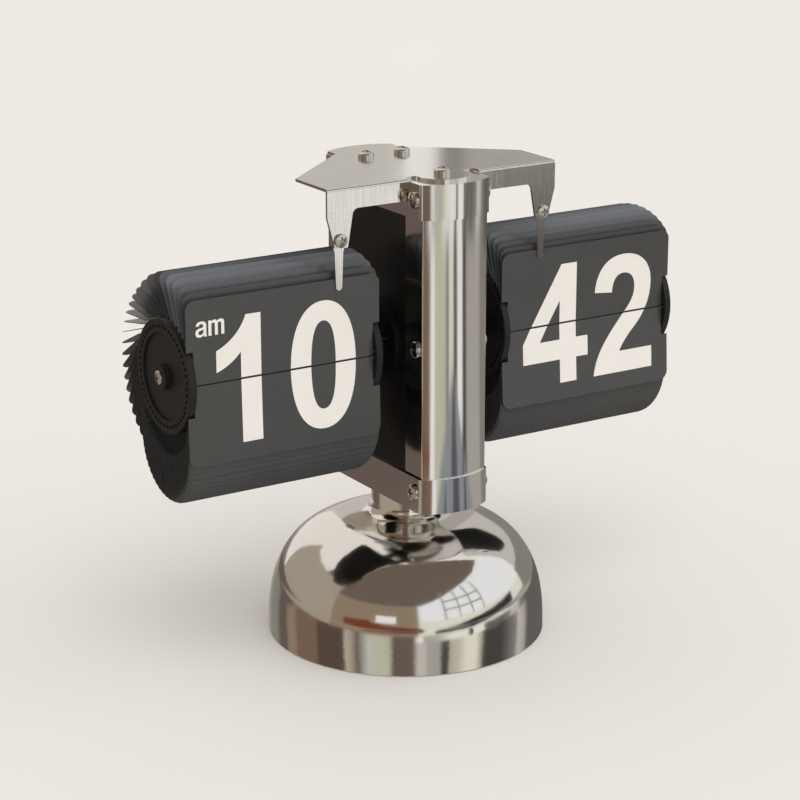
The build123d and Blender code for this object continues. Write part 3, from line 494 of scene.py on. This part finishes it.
# Standing cards: shade, azimuths from the front to the right, low and high elevation, both in degrees, and
# distance in metres; a second pair of elevations slants the card towards its right end
standingCards = (
    ("taupe", (-125, 78), (27, 89.5), 1.60),
    ("sky", (-22, 20), (9, 26, 9, 40), 1.50),
    ("sky", (20, 86), (9, 40, 9, 52), 1.50),
    ("stone", (-170, -96), (-4, 38), 1.50),
    ("umber", (-96, -22), (-4, 27), 1.52),
    ("white", (-57, -40), (8, 15), 1.46),
    ("rust", (-78.6, -58.7), (6.3, 10.8, 3.9, 12.4), 0.20),
    ("rust", (-58.7, -19.6), (3.9, 10.8, 3.9, 7.0), 0.20),
    ("cream", (-22, 92), (-4, 10), 1.50),
    ("black", (-9, 22), (-2, 0, -2, 4), 1.45),
    ("black", (22, 68), (-2, 4, 1, 8), 1.45),
    ("grey", (86, 142), (-4, 14), 1.45),
    ("shell", (88, 136), (14, 56), 1.50),
    ("ash", (136, 145.4), (0, 60), 1.45),
    ("grey", (145.4, 146.3), (0, 60), 1.45),
    ("shell", (146.3, 160), (0, 60), 1.45),
    ("white", (146.4, 147.7), (0, 60), 1.40),
)

# Bars across the bright card
windowBars = {
    "uprights": (1, 14, 26, 37),
    "rails": (19, 28),
    "foot": 9,
    "top": 40,
    "thickness": 1.5,        # degrees
    "distance": 1.47,
    "shade": "grey",
}

# Ground round the clock: azimuths and the shades that blend from one to the next, far off for the cap and,
# lower down, for the rim of the dome, and near by for the column
sharedStripes = (
    (-136, "umber"), (-131, "tan"), (-110, "tan"), (-107, "brown"), (-84, "brown"), (-81, "sand"),
    (-77, "stone"), (-71, "taupe"), (-66, "ash"), (-62, "shell"), (-58, "sage"), (-46, "sage"),
    (-42, "mauve"), (-26, "taupe"),
)
rearStripes = ((150, "stone"), (165, "stone"), (180, "grey"))
rimStripes = (
    (-180, "grey"), (-166, "grey"), (-158, "mauve"), (-148, "mauve"), (-144, "umber"), *sharedStripes,
    (-23, "shell"), (-17.5, "shell"), (-14, "ash"), (-5, "ash"), (-2.5, "dark"), (1.5, "dark"), (3.5, "sand"),
    (10, "sage"), (18, "cream"), (26, "cream"), (30, "sage"), (33.5, "dark"), (52, "dark"), (69, "grey"),
    (73, "shell"), (82, "ash"), (87, "lead"), (140, "lead"), *rearStripes,
)
farStripes = (
    (-180, "grey"), (-160, "mauve"), (-142, "mauve"), *sharedStripes, (-22.5, "white"), (-20, "white"),
    (-17, "ash"), (-4, "sage"), (0, "cream"), (8, "white"), (18.5, "white"), (20.5, "dark"), (22.5, "dark"),
    (23.5, "white"), (33, "white"), (34, "grey"), (39, "lead"), (52, "lead"), (61, "grey"), (64, "shell"),
    (72, "shell"), (77, "grey"), (87, "lead"), (140, "lead"), *rearStripes,
)
nearStripes = (
    (-180, "grey"), (-160, "mauve"), (-136, "mauve"), (-120, "stone"), (-60, "stone"), (-40, "taupe"),
    (-31, "taupe"), (-26, "tan"), (-21, "tan"), (-19, "white"), (-15, "white"), (-12, "sage"), (3, "sage"),
    (6, "grey"), (9, "grey"), (11, "cream"), (16, "cream"), (19, "dark"), (23, "dark"), (25, "white"),
    (33, "white"), (34.5, "dark"), (39, "dark"), (42, "ash"), (68, "ash"), (74, "grey"), (140, "grey"),
    *rearStripes,
)
groundReach = {
    "far": 1.46,        # metres, as the near edges are
    "farTop": -3,        # degrees of elevation
    "rimTop": -7.5,
    "rimFoot": -50,
    "near": (0.075, 0.62),
    "nearHeight": 0.018,
}

# Dark tongues lying before the clock, level with the foot of the dome: shade, then azimuths and distances
tongues = (
    ("steel", (14, 0.33), (22, 0.33), (36, 0.21), (50, 0.13), (50, 0.09), (-16, 0.09), (-16, 0.13), (-2, 0.21)),
    ("slate", (16, 0.33), (20, 0.33), (23, 0.21), (24, 0.09), (10, 0.09), (14, 0.21)),
    ("slate", (33, 0.24), (35, 0.24), (38, 0.09), (31, 0.09)),
    ("slate", (0, 0.17), (2, 0.17), (3, 0.09), (-7, 0.09)),
)
tongueStep = 0.0002        # each lies this far over the last


def onAzimuth(azimuth, distance, height):
    angle = math.radians(azimuth)
    return (distance * math.sin(angle), -distance * math.cos(angle), height)


def onElevation(azimuth, elevation, distance):
    return onAzimuth(azimuth, distance, distance * math.tan(math.radians(elevation)))


def glowFinish(shade):
    material = bpy.data.materials.new(shade + "CardGlow")
    material.use_nodes = True
    glowTree = material.node_tree
    glowTree.nodes.clear()
    glow = addNode(glowTree, "ShaderNodeEmission", {"Color": linear(tones[shade]), "Strength": 1.0})
    addNode(glowTree, "ShaderNodeOutputMaterial", links={"Surface": glow.outputs["Emission"]})
    return material


glows = {shade: glowFinish(shade) for shade in tones}


# A card in one shade, seen by shiny parts alone
def addMirrored(name, shade, corners, faces):
    card = addStage(name, glows[shade], corners, faces)
    card.visible_camera = False
    card.visible_diffuse = False
    card.visible_shadow = False
    card.visible_transmission = False
    return card


cardStep = 4        # degrees of azimuth that one flat of a bent card spans


# A bent card between two azimuths
def standingCard(name, shade, azimuths, elevations, distance):
    left, right = elevations[:2], elevations[-2:]
    steps = max(1, math.ceil((azimuths[1] - azimuths[0]) / cardStep))
    corners = []
    for i in range(steps + 1):
        azimuth = azimuths[0] + (azimuths[1] - azimuths[0]) * i / steps
        for start, end in zip(left, right):
            corners.append(onElevation(azimuth, start + (end - start) * i / steps, distance))
    faces = [(2 * i, 2 * i + 2, 2 * i + 3, 2 * i + 1) for i in range(steps)]
    addMirrored(name, shade, corners, faces)


for i, card in enumerate(standingCards):
    standingCard(f"standingCard{i}", *card)
barHalf = windowBars["thickness"] / 2
for i, azimuth in enumerate(windowBars["uprights"]):
    standingCard(
        f"windowUpright{i}", windowBars["shade"], (azimuth - barHalf, azimuth + barHalf),
        (windowBars["foot"], windowBars["top"]), windowBars["distance"],
    )
barEnds = windowBars["uprights"][0], windowBars["uprights"][-1]
for i, elevation in enumerate(windowBars["rails"]):
    standingCard(
        f"windowRail{i}", windowBars["shade"], barEnds, (elevation - barHalf, elevation + barHalf),
        windowBars["distance"],
    )


# A band of ground that blends through its stripes, with its two edges each as a distance and a height
def stripedGround(name, stripes, edges):
    corners, colours = [], []
    for azimuth, shade in stripes:
        for distance, height in edges:
            corners.append(onAzimuth(azimuth, distance, height))
            colours += linear(tones[shade])
    faces = [(2 * i, 2 * i + 2, 2 * i + 3, 2 * i + 1) for i in range(len(stripes) - 1)]
    ground = addMirrored(name, "stone", corners, faces)
    ground.data.color_attributes.new("stripes", "FLOAT_COLOR", "POINT").data.foreach_set("color", colours)
    glow = glows["stone"].copy()
    glow.name = name + "Glow"
    blended = addNode(glow.node_tree, "ShaderNodeVertexColor", {"layer_name": "stripes"})
    glow.node_tree.links.new(blended.outputs["Color"], glow.node_tree.nodes["Emission"].inputs["Color"])
    ground.data.materials[0] = glow


farEdges = [
    (groundReach["far"], groundReach["far"] * math.tan(math.radians(groundReach[edge])))
    for edge in ("rimFoot", "rimTop", "farTop")
]
stripedGround("rimGround", rimStripes, farEdges[:2])
stripedGround("farGround", farStripes, farEdges[1:])
nearEdges = [(distance, groundReach["nearHeight"]) for distance in groundReach["near"]]
stripedGround("nearGround", nearStripes, nearEdges)
for i, (shade, *outline) in enumerate(tongues):
    height = groundReach["nearHeight"] + (i + 1) * tongueStep
    corners = [onAzimuth(azimuth, distance, height) for azimuth, distance in outline]
    addMirrored(f"tongue{i}", shade, corners, [range(len(corners))])
print("reflection cards set")


# Lamps: name, strength, azimuth, elevation and apparent width, the last three in degrees
lamps = (("keyLight", 0.7, -20, 55, 40), ("fillLight", 0.35, 50, 40, 60))
view = {
    "place": (-0.45217, -0.71271, 0.34943),
    "azimuth": -32.25,
    "elevation": 17.22,
    "lens": 108.34,
    "sensor": 36.0,
}


# Turns a lamp or the camera so that its back points to the given azimuth and elevation
def turned(azimuth, elevation):
    a, e = math.radians(azimuth), math.radians(elevation)
    back = Vector((math.sin(a) * math.cos(e), -math.cos(a) * math.cos(e), math.sin(e)))
    return back.to_track_quat("Z", "Y").to_euler()


for name, strength, azimuth, elevation, width in lamps:
    lamp = bpy.data.lights.new(name, "SUN")
    lamp.energy = strength
    lamp.angle = math.radians(width)
    holder = bpy.data.objects.new(name, lamp)
    holder.rotation_euler = turned(azimuth, elevation)
    holder.visible_glossy = False
    bpy.context.scene.collection.objects.link(holder)

camera = bpy.data.objects.new("camera", bpy.data.cameras.new("camera"))
camera.data.lens = view["lens"]
camera.data.sensor_width = view["sensor"]
camera.location = view["place"]
camera.rotation_euler = turned(view["azimuth"], view["elevation"])
bpy.context.scene.collection.objects.link(camera)
bpy.context.scene.camera = camera
bpy.context.scene.view_settings.view_transform = "Standard"
print("studio set")
